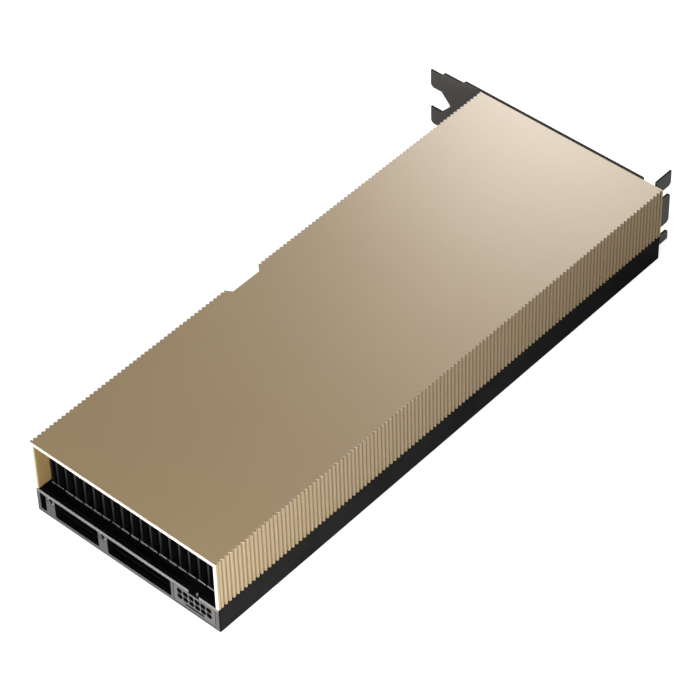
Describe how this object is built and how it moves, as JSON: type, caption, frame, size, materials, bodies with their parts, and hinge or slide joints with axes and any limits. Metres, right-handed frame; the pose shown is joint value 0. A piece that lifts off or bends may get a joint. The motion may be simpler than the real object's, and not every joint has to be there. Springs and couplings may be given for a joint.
{
  "type": "passive accelerator card",
  "caption": "Full-height dual-slot server accelerator card with a ribbed gold cover over a black frame, open at the tail for duct air, with a notched steel bracket.",
  "frame": {"origin": "middle of the whole footprint, at the level of the back face that the card lies on", "axes": "+X from the tail, where air goes in, to the bracket; +Y towards the edge connector; +Z away from the back, out of the cover's smooth face"},
  "size_m": [0.2784, 0.1246, 0.038],
  "materials": {
    "anodised_cover": "fine bead-blasted and champagne gold anodised",
    "black_frame": "satin black",
    "insert_steel": "turned",
    "black_heat_sink": "black anodised, cut edges a little lighter",
    "black_plastic": "moulded, fine grain",
    "plated_contacts": "hard gold plating",
    "solder_mask": "dark semi-gloss solder mask",
    "package_laminate": "laminate",
    "bare_silicon": "polished",
    "chip_moulding": "moulding compound",
    "stiffener_steel": "nickel plated",
    "thermal_pad": "soft filled silicone",
    "ferrite": "pressed",
    "capacitor_ceramic": "fired",
    "capacitor_can": "drawn can",
    "insulating_film": "polyester film",
    "dark_bracket": "folded steel sheet, dark grey plating",
    "black_screws": "black oxide"
  },
  "bodies": {
    "root": {"cover": "anodised_cover", "base_frame": "black_frame", "threaded_inserts": "insert_steel", "heat_sink_plate": "black_heat_sink", "fin_stack": "black_heat_sink", "power_inlet_housing": "black_plastic", "power_pins": "plated_contacts", "sense_contacts": "plated_contacts", "circuit_board": "solder_mask", "edge_contacts": "plated_contacts", "processor_substrate": "package_laminate", "processor_die": "bare_silicon", "memory_stacks": "chip_moulding", "package_stiffener": "stiffener_steel", "thermal_pads": "thermal_pad", "inductors": "ferrite", "power_stages": "chip_moulding", "chip_capacitors": "capacitor_ceramic", "can_capacitors": "capacitor_can", "controller_chips": "chip_moulding", "backplate": "black_frame", "insulating_film": "insulating_film", "bracket": "dark_bracket", "bracket_screws": "black_screws", "backplate_screws": "black_screws", "heat_sink_screws": "black_screws", "cover_screws": "black_screws"}
  },
  "joints": []
}
